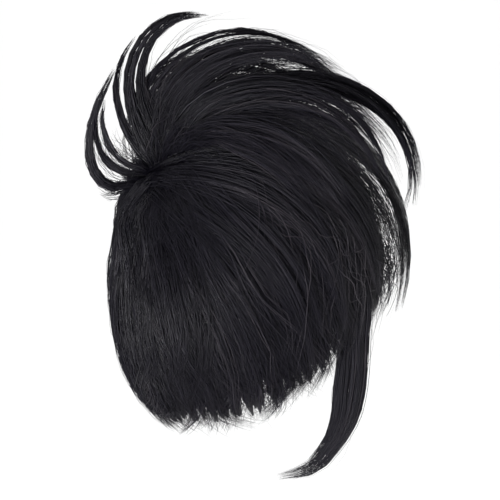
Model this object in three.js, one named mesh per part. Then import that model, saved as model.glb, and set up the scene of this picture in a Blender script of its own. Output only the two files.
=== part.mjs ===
// A black cosplay wig: an open cap, hair panels combed down from a tuft, the tuft's swept locks and one
// long side lock. Millimetres, +Z up. The wearer faces -Y and the wearer's right is -X. The origin is the
// inside of the cap's crown, where the wig sits on the top of the head.
import * as THREE from 'three';

// Half sizes of the head form inside the cap, and of the outer form of the combed hair, from the head's
// centre.
const HEAD = { side: 77, length: 98, up: 107, down: 130 };
const HAIR = { side: 92, length: 115, up: 125, down: 146 };

const CAP_WALL = 1.5;
const SEAT_GAP = 1.2; // from the cap to the hair on it, at the facets' corners
const SEAM_GAP = 0.5; // between neighbouring panels

// Cap: how finely it is faceted, the angles from the crown between which its rim lies, and the height of
// the rim by bearing round the head, from the nape to the brow.
const CAP = { columns: 28, rows: 8, leastAngle: 30, mostAngle: 160 };
const CAP_RIM = [
  { bearing: 0, height: -88 },
  { bearing: 60, height: -72 },
  { bearing: 90, height: -28 },
  { bearing: 118, height: -34 },
  { bearing: 150, height: 18 },
  { bearing: 180, height: 42 },
];

// Combed hair: it runs out from the tuft's root on all sides, down to a hem that rises from the nape to the
// brow.
const ROOT_ELEVATION = 44; // of the tuft's root, above the horizontal at the back of the head
const COMB_START = 7.2; // angle from the root's axis where the panels begin
const COMB_LIMIT = 150; // angle from it that no panel's hem reaches
const PANEL = { columns: 6, rows: 12, tip: 4, relief: 1.5, hemWall: 3.5, thinFrom: 0.6 };
const HEM = [
  { bearing: 0, height: -110 },
  { bearing: 50, height: -106 },
  { bearing: 70, height: -96 },
  { bearing: 86, height: -83 },
  { bearing: 106, height: -56 },
  { bearing: 125, height: -38 },
  { bearing: 150, height: -20 },
  { bearing: 180, height: -5 },
];
const PANELS = [
  { name: 'nape_right', from: 0, to: 45 },
  { name: 'right_back', from: 45, to: 90 },
  { name: 'right_front', from: 90, to: 135 },
  { name: 'fringe_right', from: 135, to: 180 },
  { name: 'fringe_left', from: 180, to: 225 },
  { name: 'left_front', from: 225, to: 270 },
  { name: 'left_back', from: 270, to: 315 },
  { name: 'nape_left', from: 315, to: 360 },
];

// Tuft root: a bound stump with a round top, standing out of the combed hair.
const STUMP = { radius: 13, footRadius: 11, rise: 2, sides: 16, domeSteps: 4 };

// Locks: a flattened hexagon that starts small at the root, swells and runs out to a thin tip. A draped
// lock's heading is taken between two places a small share of its length aside.
const LOCK = { steps: 12, tipWidth: 1.6, tipDepth: 1.2, aside: 0.02 };

// Free locks stand in a fan that faces back and to the right. Their heading, in degrees above the way to
// the fan's front end, is given at the root, half way along and at the tip. Lean is how far a lock tips out
// of the fan's face.
const FAN_FACING = 51; // degrees from straight back towards the wearer's right
const FREE = { rootWidth: 4, rootDepth: 6, rootGap: 0.5, swellBy: 0.7 };
const FREE_LOCKS = [
  { name: 'tuft_back_low', root: 210, half: 94, tip: 60, lean: 8, length: 114, width: 8, depth: 6 },
  { name: 'tuft_back_mid', root: 191, half: 118, tip: 70, lean: -12, length: 75, width: 6, depth: 5 },
  { name: 'tuft_back_high', root: 171, half: 111, tip: 77, lean: 6, length: 69, width: 6, depth: 5 },
  { name: 'tuft_rear_thin', root: 138, half: 98, tip: 46, lean: -4, length: 98, width: 6, depth: 5 },
  { name: 'tuft_rear_tall', root: 119, half: 75, tip: -24, lean: 4, length: 147, width: 16, depth: 8 },
  { name: 'tuft_top', root: 101, half: 22, tip: -50, lean: -1, length: 202, width: 17, depth: 8 },
  { name: 'tuft_front_long', root: 82, half: -11, tip: -100, lean: 4, length: 290, width: 18, depth: 9 },
  { name: 'tuft_front_inner', root: 58, half: -3, tip: -77, lean: 13, length: 214, width: 29, depth: 9 },
  { name: 'tuft_far_rear', root: 122, half: 50, tip: -38, lean: -32, length: 138, width: 14, depth: 8 },
  { name: 'tuft_far_front', root: 92, half: 15, tip: -60, lean: -31, length: 188, width: 18, depth: 8 },
];

// Draped locks lie over the combed hair. Bearing is round the root from the nape over the right, fall is
// how far it sinks back towards the nape, end is the angle from the root's axis at the tip, and flare is
// how far the tip stands off.
const DRAPE = { rootWidth: 5, rootDepth: 4, rootGap: 0.8, swellBy: 1, clearance: 1.2 };
const DRAPED_LOCKS = [
  { name: 'drape_right_low', bearing: 86, fall: 24, end: 112, arch: 3, flare: 3, width: 25, depth: 6 },
  { name: 'drape_right_mid', bearing: 109, fall: 26, end: 112, arch: 4, flare: 4, width: 27, depth: 6 },
  { name: 'drape_right_high', bearing: 132, fall: 20, end: 117, arch: 7, flare: 8, width: 28, depth: 8 },
  { name: 'drape_right_top', bearing: 158, fall: 10, end: 153, arch: 9, flare: 22, width: 20, depth: 7 },
  { name: 'drape_left_top', bearing: 188, fall: -12, end: 112, arch: 3, flare: 3, width: 26, depth: 7 },
  { name: 'drape_left_high', bearing: 232, fall: -12, end: 108, arch: 2, flare: 2, width: 28, depth: 6 },
  { name: 'drape_left_low', bearing: 264, fall: -10, end: 102, arch: 2, flare: 2, width: 26, depth: 6 },
];

// Side lock, in sections from under the side hair down to its tip, which curls in towards the chin. Its
// broad face looks out to the wearer's right.
const SIDE_FACING = 110; // degrees from straight back towards the wearer's right
const SIDE_LOCK = [
  { right: 72, front: 40, height: -42, width: 20, depth: 3.5 },
  { right: 71, front: 39.5, height: -56, width: 26, depth: 5 },
  { right: 75, front: 46, height: -70, width: 31, depth: 9 },
  { right: 74, front: 46, height: -91, width: 30, depth: 12 },
  { right: 70, front: 43, height: -112, width: 26, depth: 11 },
  { right: 61, front: 38, height: -133, width: 20, depth: 10 },
  { right: 47, front: 28, height: -153, width: 14, depth: 7 },
  { right: 25, front: 12.5, height: -165, width: 4, depth: 3 },
];

const HAIR_LOOK = new THREE.MeshStandardMaterial({ color: 0x1b1a1f, roughness: 0.45, metalness: 0 });
const CAP_LOOK = new THREE.MeshStandardMaterial({ color: 0x3c3b3e, roughness: 0.85, metalness: 0 });

const { degToRad, lerp, smoothstep } = THREE.MathUtils;
const UP = new THREE.Vector3(0, 0, 1);

// Directions of the tuft root's axis, of the nape as seen along it, and of the wearer's right.
const rootLift = degToRad(ROOT_ELEVATION);
const ROOT_AXIS = new THREE.Vector3(0, Math.cos(rootLift), Math.sin(rootLift));
const TO_NAPE = new THREE.Vector3(0, Math.sin(rootLift), -Math.cos(rootLift));
const TO_RIGHT = new THREE.Vector3(-1, 0, 0);

// Distance from the head's centre to a form's surface, along a unit direction.
function reach(form, direction) {
  const vertical = direction.z > 0 ? form.up : form.down;
  return 1 / Math.hypot(direction.x / form.side, direction.y / form.length, direction.z / vertical);
}

// A sum of vectors, each with its own factor.
function mix(...terms) {
  return terms.reduce((sum, [vector, factor]) => sum.addScaledVector(vector, factor), new THREE.Vector3());
}

// Unit direction from the head's centre, by angle from the root's axis and bearing round it, both in
// degrees.
function combDirection(angle, bearing) {
  const [a, b] = [degToRad(angle), degToRad(bearing)];
  const out = Math.sin(a);
  return mix([ROOT_AXIS, Math.cos(a)], [TO_NAPE, out * Math.cos(b)], [TO_RIGHT, out * Math.sin(b)]);
}

// Height that a table gives for a bearing, the same on both sides of the head.
function heightAt(table, bearing) {
  const after = Math.max(1, table.findIndex((row) => row.bearing >= bearing));
  const [low, high] = [table[after - 1], table[after]];
  return lerp(low.height, high.height, (bearing - low.bearing) / (high.bearing - low.bearing));
}

// Bearing of a direction round the head, 0 at the nape and 180 at the brow, on either side.
function headBearing(form, direction) {
  return THREE.MathUtils.radToDeg(Math.atan2(Math.abs(direction.x) / form.side, direction.y / form.length));
}

// Largest angle, found by halving, at which a form's surface is still above a table's height.
const HALVINGS = 24;
function edgeAngle(form, table, directionAt, low, high) {
  for (let round = 0; round < HALVINGS; round++) {
    const middle = (low + high) / 2;
    const direction = directionAt(middle);
    const above = reach(form, direction) * direction.z > heightAt(table, headBearing(form, direction));
    [low, high] = above ? [middle, high] : [low, middle];
  }
  return low;
}

function meshFrom(name, points, faces, material) {
  const geometry = new THREE.BufferGeometry().setFromPoints(points);
  geometry.setIndex(faces);
  geometry.computeVertexNormals();
  const mesh = new THREE.Mesh(geometry, material);
  mesh.name = name;
  return mesh;
}

// One closed wall between an outer and an inner sheet of points, each a list of equally long columns. With
// crown points the columns go all the way round and close over them. Without, the first and last columns
// get side walls.
function wall(name, outer, inner, material, crown = []) {
  const [columns, rows] = [outer.length, outer[0].length];
  const points = [...outer.flat(), ...inner.flat(), ...crown];
  const innerStart = columns * rows;
  const faces = [];
  const quad = (a, b, c, d) => faces.push(a, b, c, a, c, d);
  const spans = crown.length ? columns : columns - 1;
  for (let i = 0; i < spans; i++) {
    const [here, next] = [i * rows, ((i + 1) % columns) * rows];
    for (let j = 0; j < rows - 1; j++) {
      quad(here + j, here + j + 1, next + j + 1, next + j);
      const [a, b] = [innerStart + here + j, innerStart + next + j];
      quad(a, b, b + 1, a + 1);
    }
    const end = rows - 1;
    quad(here + end, innerStart + here + end, innerStart + next + end, next + end);
    if (crown.length) {
      faces.push(2 * innerStart, here, next);
      faces.push(2 * innerStart + 1, innerStart + next, innerStart + here);
    } else {
      quad(here, next, innerStart + next, innerStart + here);
    }
  }
  if (!crown.length) {
    const last = (columns - 1) * rows;
    for (let j = 0; j < rows - 1; j++) {
      quad(j, innerStart + j, innerStart + j + 1, j + 1);
      quad(last + j, last + j + 1, innerStart + last + j + 1, innerStart + last + j);
    }
  }
  return meshFrom(name, points, faces, material);
}

// Cap: a dome wall whose rim follows the cap's table.
function wigCap() {
  const [outer, inner] = [[], []];
  for (let i = 0; i < CAP.columns; i++) {
    const turn = (i / CAP.columns) * 2 * Math.PI;
    const directionAt = (angle) => {
      const [out, up] = [Math.sin(degToRad(angle)), Math.cos(degToRad(angle))];
      return new THREE.Vector3(out * Math.sin(turn), out * Math.cos(turn), up);
    };
    const rim = edgeAngle(HEAD, CAP_RIM, directionAt, CAP.leastAngle, CAP.mostAngle);
    const directions = [];
    for (let j = 1; j <= CAP.rows; j++) directions.push(directionAt((rim * j) / CAP.rows));
    inner.push(directions.map((d) => d.clone().multiplyScalar(reach(HEAD, d))));
    outer.push(directions.map((d) => d.clone().multiplyScalar(reach(HEAD, d) + CAP_WALL)));
  }
  const crown = [mix([UP, HEAD.up + CAP_WALL]), mix([UP, HEAD.up])];
  return wall('wig_cap', outer.reverse(), inner.reverse(), CAP_LOOK, crown);
}

// One panel of combed hair: thick on the cap, fluted into strands, thin at a hem of short tips.
function hairPanel({ name, from, to }) {
  const [outer, inner] = [[], []];
  for (let i = 0; i <= PANEL.columns; i++) {
    const bearing = lerp(from, to, i / PANEL.columns);
    const isTip = i % 2 === 1;
    const hem = edgeAngle(HAIR, HEM, (angle) => combDirection(angle, bearing), COMB_START, COMB_LIMIT);
    const end = hem + (isTip ? PANEL.tip : 0);
    const side = i === 0 ? 1 : i === PANEL.columns ? -1 : 0;
    const [outerColumn, innerColumn] = [[], []];
    for (let j = 0; j <= PANEL.rows; j++) {
      const share = j / PANEL.rows;
      const angle = lerp(COMB_START, end, share);
      const round = reach(HEAD, combDirection(angle, bearing)) * Math.sin(degToRad(angle));
      const inset = THREE.MathUtils.radToDeg((side * SEAM_GAP) / 2 / round);
      const direction = combDirection(angle, bearing + inset);
      const outside = reach(HAIR, direction) + (isTip ? 0 : -PANEL.relief);
      const seat = reach(HEAD, direction) + CAP_WALL + SEAT_GAP;
      const inside = lerp(seat, outside - PANEL.hemWall, smoothstep(share, PANEL.thinFrom, 1));
      outerColumn.push(direction.clone().multiplyScalar(outside));
      innerColumn.push(direction.clone().multiplyScalar(inside));
    }
    outer.push(outerColumn);
    inner.push(innerColumn);
  }
  return wall(name, outer, inner, HAIR_LOOK);
}

// Distances along the root's axis from the head's centre to the stump's foot on the cap and to its dome's
// centre.
const STUMP_FOOT = reach(HEAD, ROOT_AXIS) + CAP_WALL + SEAT_GAP;
const DOME_AT = reach(HAIR, ROOT_AXIS) + STUMP.rise;
const DOME_CENTRE = mix([ROOT_AXIS, DOME_AT]);

function tuftRoot() {
  const profile = [new THREE.Vector2(0, STUMP_FOOT), new THREE.Vector2(STUMP.footRadius, STUMP_FOOT)];
  for (let step = 0; step < STUMP.domeSteps; step++) {
    const angle = (step / STUMP.domeSteps) * (Math.PI / 2);
    profile.push(new THREE.Vector2(STUMP.radius * Math.cos(angle), DOME_AT + STUMP.radius * Math.sin(angle)));
  }
  profile.push(new THREE.Vector2(0, DOME_AT + STUMP.radius));
  const mesh = new THREE.Mesh(new THREE.LatheGeometry(profile, STUMP.sides), HAIR_LOOK);
  mesh.name = 'tuft_root';
  mesh.quaternion.setFromUnitVectors(new THREE.Vector3(0, 1, 0), ROOT_AXIS);
  return mesh;
}

// Corners of a lock's section, as shares of its half width and half depth.
const SECTION = [[1, 0], [0.5, 1], [-0.5, 1], [-1, 0], [-0.5, -1], [0.5, -1]];

// A solid through sections of a lock, each with a centre, a unit direction across its width and one across
// its depth.
function sweptLock(name, sections) {
  const corners = SECTION.length;
  const points = sections.flatMap(({ at, across, through, width, depth }) =>
    SECTION.map(([w, d]) => mix([at, 1], [across, (w * width) / 2], [through, (d * depth) / 2])));
  const faces = [];
  for (let i = 0; i < sections.length - 1; i++) {
    for (let k = 0; k < corners; k++) {
      const [a, b] = [i * corners + k, i * corners + ((k + 1) % corners)];
      faces.push(a, b, b + corners, a, b + corners, a + corners);
    }
  }
  const last = (sections.length - 1) * corners;
  for (let k = 1; k < corners - 1; k++) {
    faces.push(0, k + 1, k);
    faces.push(last, last + k, last + k + 1);
  }
  return meshFrom(name, points, faces, HAIR_LOOK);
}

// A lock's width and depth at a share of its length. A small swellBy brings the swell nearer to the root.
function lockSize(kind, share, width, depth) {
  const swell = Math.sin(Math.PI * share ** kind.swellBy);
  const size = (root, full, tip) => lerp(root, tip, share) + (full - (root + tip) / 2) * swell;
  return {
    width: size(kind.rootWidth, width, LOCK.tipWidth),
    depth: size(kind.rootDepth, depth, LOCK.tipDepth),
  };
}

// Ways of the fan: out of its face, and towards its front end.
const fanTurn = degToRad(FAN_FACING);
const FAN_OUT = new THREE.Vector3(-Math.sin(fanTurn), Math.cos(fanTurn), 0);
const FAN_FRONT = new THREE.Vector3(-Math.cos(fanTurn), -Math.sin(fanTurn), 0);

function freeLock({ name, root, half, tip, lean, length, width, depth }) {
  const headingAt = (share) => {
    const rise = lerp(root, tip, share) + (4 * half - 2 * (root + tip)) * share * (1 - share);
    const [r, l] = [degToRad(rise), degToRad(lean)];
    const flat = Math.cos(l);
    return mix([FAN_FRONT, flat * Math.cos(r)], [UP, flat * Math.sin(r)], [FAN_OUT, Math.sin(l)]);
  };
  const at = mix([DOME_CENTRE, 1], [headingAt(0), STUMP.radius + FREE.rootGap]);
  const sections = [];
  for (let step = 0; step <= LOCK.steps; step++) {
    const share = step / LOCK.steps;
    const heading = headingAt(share);
    const across = new THREE.Vector3().crossVectors(heading, FAN_OUT).normalize();
    const through = new THREE.Vector3().crossVectors(heading, across);
    sections.push({ at: at.clone(), across, through, ...lockSize(FREE, share, width, depth) });
    at.addScaledVector(headingAt(share + 0.5 / LOCK.steps), length / LOCK.steps);
  }
  return sweptLock(name, sections);
}

function drapedLock({ name, bearing, fall, end, arch, flare, width, depth }) {
  const low = DRAPE.clearance + DRAPE.rootDepth / 2;
  const besideRoot = reach(HAIR, combDirection(COMB_START, bearing)) + low;
  const start = THREE.MathUtils.radToDeg(Math.asin((STUMP.radius + DRAPE.rootGap) / besideRoot));
  const placeAt = (share) => {
    const direction = combDirection(lerp(start, end, share), bearing - fall * share ** 3);
    const stand = low + arch * Math.sin(Math.PI * share) + flare * share ** 2;
    return direction.multiplyScalar(reach(HAIR, direction) + stand);
  };
  const sections = [];
  for (let step = 0; step <= LOCK.steps; step++) {
    const share = step / LOCK.steps;
    const at = placeAt(share);
    const [before, after] = [Math.max(0, share - LOCK.aside), Math.min(1, share + LOCK.aside)];
    const heading = placeAt(after).sub(placeAt(before)).normalize();
    const across = new THREE.Vector3().crossVectors(heading, at).normalize();
    const through = new THREE.Vector3().crossVectors(heading, across);
    sections.push({ at, across, through, ...lockSize(DRAPE, share, width, depth) });
  }
  return sweptLock(name, sections);
}

function sideLock() {
  const facing = degToRad(SIDE_FACING);
  const outwards = new THREE.Vector3(-Math.sin(facing), Math.cos(facing), 0);
  const centres = SIDE_LOCK.map(({ right, front, height }) => new THREE.Vector3(-right, -front, height));
  const route = new THREE.CatmullRomCurve3(centres);
  const sections = SIDE_LOCK.map(({ width, depth }, i) => {
    const heading = route.getTangent(i / (SIDE_LOCK.length - 1));
    const across = new THREE.Vector3().crossVectors(heading, outwards).normalize();
    const through = new THREE.Vector3().crossVectors(heading, across);
    return { at: centres[i], across, through, width, depth };
  });
  return sweptLock('side_lock', sections);
}

// All pieces are laid out from the head's centre, which lies below the cap's crown.
const wig = new THREE.Group();
const aboutHeadCentre = new THREE.Group();
aboutHeadCentre.position.z = -HEAD.up;
aboutHeadCentre.add(wigCap(), tuftRoot(), sideLock());
for (const row of PANELS) aboutHeadCentre.add(hairPanel(row));
for (const row of FREE_LOCKS) aboutHeadCentre.add(freeLock(row));
for (const row of DRAPED_LOCKS) aboutHeadCentre.add(drapedLock(row));
wig.add(aboutHeadCentre);

export default wig;
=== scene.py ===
import math
from types import SimpleNamespace as Sizes

import bpy
import numpy as np
from mathutils import Matrix, Vector


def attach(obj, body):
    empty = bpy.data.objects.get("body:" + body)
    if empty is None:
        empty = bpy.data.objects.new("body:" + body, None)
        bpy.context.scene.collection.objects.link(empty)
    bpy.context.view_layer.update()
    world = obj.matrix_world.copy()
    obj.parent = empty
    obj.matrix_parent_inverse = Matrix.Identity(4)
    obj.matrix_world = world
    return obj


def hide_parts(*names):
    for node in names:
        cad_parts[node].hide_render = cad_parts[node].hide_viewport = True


# A black cosplay wig of strands. Metres and degrees, +Z up. The wearer faces -Y, and -X is to the right.
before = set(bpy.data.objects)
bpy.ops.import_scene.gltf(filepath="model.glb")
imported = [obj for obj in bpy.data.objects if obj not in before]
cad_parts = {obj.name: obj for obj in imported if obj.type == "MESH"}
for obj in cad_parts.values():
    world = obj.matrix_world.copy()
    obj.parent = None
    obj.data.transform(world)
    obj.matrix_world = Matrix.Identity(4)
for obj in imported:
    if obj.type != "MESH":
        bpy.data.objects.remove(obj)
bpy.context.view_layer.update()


def table(columns, *rows):
    """Rows of a table, each as a dict by the names of the columns."""
    return [dict(zip(columns.split(), row)) for row in rows]


# Half sizes, from the head's centre, of the head form inside the cap and of the combed hair's outer form.
HEAD = Sizes(side=0.077, length=0.098, up=0.107, down=0.130)
HAIR = Sizes(side=0.092, length=0.115, up=0.125, down=0.146)
HEAD_CENTRE = np.array([0.0, 0.0, -HEAD.up])

# Combed hair runs out from the tuft's root, from an angle off the root's axis on, down to a hem. Its height
# is given by bearing round the head, from the nape to the brow.
ROOT_ELEVATION = 44
COMB_START = 7.2
COMB_LIMIT = 150
HEM_BEARINGS = (0, 50, 70, 86, 106, 125, 150, 180)
HEM_HEIGHTS = (-0.110, -0.106, -0.096, -0.083, -0.056, -0.038, -0.020, -0.005)
HALVINGS = 24  # times that the span of angles with an edge in it is halved

# Panels of combed hair, equally wide, side by side round the root from the nape over the right.
PANELS = ("nape_right", "right_back", "right_front", "fringe_right",
          "fringe_left", "left_front", "left_back", "nape_left")
PANEL_TURN = 360 / len(PANELS)

# Root of the tuft: its radius, and the height over the hair's form that free locks leave from.
STUMP = Sizes(radius=0.013, rise=0.002)

THICK = 0.0009  # radius of a twist of strands inside a lock
STRAND = 0.00028  # radius of a strand
FINE = 0.00016  # radius of a strand of frizz
STRAY = 0.00012  # radius of a flyaway

# Free locks stand in a fan that faces back and to the right. Heading, above the way to the fan's front end,
# is given at the root, half way along and at the tip. Lean is how far a lock tips out of the fan's face,
# start is its place along the strip of roots, turn is how far its ribs stray, and rib is how far strands
# stray from their rib, as a share of half the lock's width.
FAN_FACING = 51
FREE_LOCKS = table(
    "name root half tip lean length width depth start strands turn rib",
    ("back_low", 205, 93, 62, 8, 0.112, 0.005, 0.004, -0.013, 95, 0.7, 0.10),
    ("back_mid", 192, 118, 70, -12, 0.075, 0.004, 0.003, -0.001, 45, 0.6, 0.10),
    ("back_high", 172, 112, 78, 6, 0.067, 0.003, 0.003, 0.000, 36, 0.5, 0.10),
    ("rear_thin", 132, 97, 46, -4, 0.099, 0.004, 0.004, 0.000, 70, 0.5, 0.10),
    ("rear_tall", 112, 73, -20, 4, 0.144, 0.014, 0.009, 0.005, 210, 1.0, 0.09),
    ("top", 102, 18, -50, -1, 0.203, 0.027, 0.011, 0.002, 200, 2.0, 0.035),
    ("front_long", 52, -8, -114, 4, 0.271, 0.020, 0.010, 0.009, 260, 2.4, 0.08),
    ("front_inner", 58, -3, -78, 13, 0.212, 0.028, 0.010, 0.012, 280, 3.2, 0.08),
    ("far_rear", 118, 50, -40, -32, 0.140, 0.015, 0.009, 0.000, 100, 8.0, 0.10),
    ("far_front", 92, 14, -62, -31, 0.190, 0.020, 0.009, 0.004, 120, 7.0, 0.08),
)

# Strands between two free locks, as shares of the way from the first, whose piece they belong to, to the
# second, with the shares of their length at which they end. The lowest lies on the head.
LOWEST_LOCK = dict(name="lowest", root=50, half=-38, tip=-62, lean=20, length=0.165, width=0.030,
                   start=0.024)
FILL_COLUMNS = "lock other low high strands ribs ends_from ends_to"
FAN_FILLS = table(
    FILL_COLUMNS,
    ("rear_tall", "top", 0.45, 0.9, 16, 4, 0.5, 0.9),
    ("top", "front_long", 0.10, 0.42, 200, 12, 0.72, 1.0),
    ("top", "front_long", 0.6, 0.95, 110, 9, 0.3, 0.6),
    ("front_long", "front_inner", 0.06, 0.5, 80, 5, 0.7, 1.0),
    ("front_long", "front_inner", 0.5, 1.0, 150, 12, 0.7, 1.0),
    ("front_inner", "lowest", 0.1, 1.0, 300, 25, 0.6, 1.0),
)

# Fine loose strands of the fan, as for the fills.
FAN_FRIZZ = table(
    FILL_COLUMNS,
    ("back_low", "back_high", 0.0, 1.0, 50, 40, 0.25, 0.9),
    ("back_high", "rear_thin", 0.0, 0.6, 30, 24, 0.2, 0.6),
    ("rear_tall", "top", 0.1, 0.9, 44, 20, 0.3, 0.85),
    ("top", "front_long", -0.1, 0.3, 64, 44, 0.6, 1.0),
    ("top", "front_long", 0.3, 0.9, 70, 40, 0.4, 0.9),
    ("front_long", "front_inner", 0.0, 1.0, 60, 40, 0.5, 1.0),
    ("front_inner", "lowest", 0.0, 1.0, 70, 50, 0.4, 1.0),
)

# Draped locks lie over the combed hair. Bearing is round the root from the nape over the right, fall is how
# far it sinks back towards the nape, end is the angle from the root's axis at the tip, arch is how far the
# middle stands off and flare how far the tip does.
DRAPED_LOCKS = table(
    "name bearing fall end arch flare width depth strands",
    ("right_low", 86, 24, 112, 0.003, 0.003, 0.026, 0.006, 230),
    ("right_mid", 109, 26, 112, 0.004, 0.004, 0.028, 0.006, 230),
    ("right_high", 132, 20, 118, 0.008, 0.008, 0.030, 0.009, 260),
    ("right_top", 152, 4, 155, 0.012, 0.022, 0.018, 0.008, 260),
    ("left_top", 188, -12, 112, 0.003, 0.003, 0.026, 0.007, 180),
    ("left_high", 232, -12, 108, 0.002, 0.002, 0.028, 0.006, 180),
    ("left_low", 264, -10, 102, 0.002, 0.002, 0.026, 0.006, 170),
)
DRAPE_CLEARANCE = 0.0032

# Strands between two draped locks, as for the fan.
DRAPE_FILLS = table(
    FILL_COLUMNS,
    ("right_mid", "right_high", 0.2, 0.8, 90, 8, 0.6, 0.95),
    ("right_high", "right_top", 0.1, 0.6, 130, 10, 0.6, 0.9),
    ("right_high", "right_top", 0.2, 0.5, 30, 5, 0.94, 1.06),
    ("right_top", "right_high", 0.0, 0.8, 260, 25, 0.45, 0.75),
    ("right_top", "right_high", 0.02, 0.25, 90, 6, 0.55, 0.7),
)

# Frizz over the right side: loose strands from an angle on, over a span of angle. Bearing, arch and flare
# are as for draped locks, turn is how far a strand strays, and least is the tone of the darkest.
FRIZZ = table(
    "lock strands bearing from span arch flare turn waver radius least",
    ("right_mid", 100, (92, 130), (20, 80), (25, 55), (0.003, 0.007), (0, 0.004), 22, 0.004, STRAND, 0.8),
    ("right_high", 110, (115, 150), (20, 80), (25, 60), (0.004, 0.010), (0, 0.006), 22, 0.004, STRAND, 0.8),
    ("right_high", 80, (116, 130), (90, 102), (30, 44), (0.004, 0.011), (0, 0.006), 10, 0.004, STRAND, 0.2),
    ("right_top", 70, (134, 154), (70, 105), (30, 46), (0.004, 0.014), (0.002, 0.014), 14, 0.005, FINE, 0.3),
)

# Side lock, in sections from the side hair down to its tip, from the head's centre.
SIDE_FACING = 80  # from straight back towards the wearer's right, that its broad face looks
SIDE_LOCK = np.array([
    # right, front, height, width, depth
    (0.083, 0.0440, 0.006, 0.012, 0.0030),
    (0.083, 0.0430, -0.024, 0.022, 0.0050),
    (0.077, 0.0440, -0.050, 0.026, 0.0090),
    (0.074, 0.0450, -0.072, 0.027, 0.0130),
    (0.072, 0.0440, -0.092, 0.027, 0.0140),
    (0.069, 0.0425, -0.112, 0.024, 0.0120),
    (0.061, 0.0380, -0.133, 0.018, 0.0100),
    (0.047, 0.0280, -0.154, 0.014, 0.0080),
    (0.024, 0.0120, -0.165, 0.005, 0.0040),
])

# Camera of the photo: azimuth, height, distance from the head's centre, lens, and the point aimed at,
# sideways and up in the picture from the head's centre.
VIEW = Sizes(azimuth=231, height=8, distance=1.5, lens=136.9, aim_right=0.0024, aim_up=0.0158)

SEED = 20
SECTION_SIDES = 3

UP = np.array([0.0, 0.0, 1.0])
root_lift = math.radians(ROOT_ELEVATION)
ROOT_AXIS = np.array([0.0, math.cos(root_lift), math.sin(root_lift)])
TO_NAPE = np.array([0.0, math.sin(root_lift), -math.cos(root_lift)])
TO_RIGHT = np.array([-1.0, 0.0, 0.0])
fan_turn = math.radians(FAN_FACING)
FAN_OUT = np.array([-math.sin(fan_turn), math.cos(fan_turn), 0.0])
FAN_FRONT = np.array([-math.cos(fan_turn), -math.sin(fan_turn), 0.0])


def unit(vectors):
    return vectors / np.linalg.norm(vectors, axis=-1, keepdims=True)


# The strip of roots runs over the hair's surface towards the fan's front end, between two places.
ROOT_STRIP = unit(FAN_FRONT - (FAN_FRONT @ ROOT_AXIS) * ROOT_AXIS)
STRIP_ENDS = (-0.018, 0.026)


def reach(form, direction):
    """Distance from the head's centre to a form's surface, along unit directions."""
    x, y, z = np.moveaxis(direction, -1, 0)
    vertical = np.where(z > 0, form.up, form.down)
    return 1 / np.sqrt((x / form.side) ** 2 + (y / form.length) ** 2 + (z / vertical) ** 2)


def comb_direction(angle, bearing):
    """Unit directions from the head's centre, by angle from the root's axis and bearing round it."""
    a, b = np.radians(angle)[..., None], np.radians(bearing)[..., None]
    return np.cos(a) * ROOT_AXIS + np.sin(a) * (np.cos(b) * TO_NAPE + np.sin(b) * TO_RIGHT)


def edge_angles(form, direction_at, bearings, heights, low, high):
    """Largest angles at which a form's surface is still above the height that its bearing has."""
    for _ in range(HALVINGS):
        middle = (low + high) / 2
        direction = direction_at(middle)
        x, y, z = np.moveaxis(direction, -1, 0)
        round_head = np.degrees(np.arctan2(np.abs(x) / form.side, y / form.length))
        above = reach(form, direction) * z > np.interp(round_head, bearings, heights)
        low, high = np.where(above, middle, low), np.where(above, high, middle)
    return low


def hem_angles(bearing):
    """Angles from the root's axis at which the combed hair ends."""
    def direction_at(angle):
        return comb_direction(angle, bearing)

    return edge_angles(HAIR, direction_at, HEM_BEARINGS, HEM_HEIGHTS, COMB_START, COMB_LIMIT)


HEM_TURN = np.arange(0.0, 361.0)
HEM_ANGLES = hem_angles(HEM_TURN)
KNOT = HEAD_CENTRE + ROOT_AXIS * (reach(HAIR, ROOT_AXIS) + STUMP.rise)


def smooth(value, low, high):
    """0 below low, 1 above high and a smooth step between."""
    share = np.clip((value - low) / (high - low), 0, 1)
    return share * share * (3 - 2 * share)


def near_zero(rng, count):
    """Random numbers round 0 that mostly lie between -1 and 1, and never beyond 2."""
    return np.clip(rng.normal(size=count), -2, 2)


def in_ball(rng, count):
    """Random points in a ball of radius 1."""
    return unit(rng.normal(size=(count, 3))) * rng.random((count, 1)) ** (1 / 3)


# Turns of a strand's waver, and the share of the strand by which it has grown to its full size.
WAVER = Sizes(least=0.6, most=2.2, grown=0.4)


def waves(rng, count, shares, size, most=WAVER.most):
    """A random waver of up to a number of turns for each strand, growing from nothing at the root."""
    turns = rng.uniform(WAVER.least, most, (count, 1))
    phase = rng.uniform(0, 2 * np.pi, (count, 1))
    swing = size * rng.normal(size=(count, 1)) * np.sin(2 * np.pi * turns * shares + phase)
    return swing * smooth(shares, 0, WAVER.grown)


GROUP_SHARE = 0.65  # of a strand's tone, that it has from its group


def group_tones(rng, own, least=0):
    """A tone for each strand, near its group's, from a least one up to 1."""
    group = rng.random(own.max() + 1)
    return least + (1 - least) * (GROUP_SHARE * group[own] + (1 - GROUP_SHARE) * rng.random(len(own)))


def rib_places(rng, ribs, edge, stray):
    """Places of ribs across a lock, spread evenly from edge to edge but for a small stray."""
    return np.linspace(-edge, edge, ribs) + rng.normal(0, stray, ribs)


def frayed(rng, ends, fray):
    """Ends of strands, some of which stop short by up to a share of the way."""
    return ends - fray * rng.random(len(ends)) ** 2


LEAST_THROUGH = 0.05  # square of the share of a lock's depth that is left at its edges


def through_places(rng, sideways):
    """Random places through a lock with a round section, as a column, for strands at places across it."""
    places = rng.uniform(-1, 1, len(sideways)) * np.sqrt(np.clip(1 - sideways ** 2, LEAST_THROUGH, 1))
    return places[:, None]


def add_object(name, data):
    made = bpy.data.objects.new(name, data)
    bpy.context.scene.collection.objects.link(made)
    return made


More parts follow.
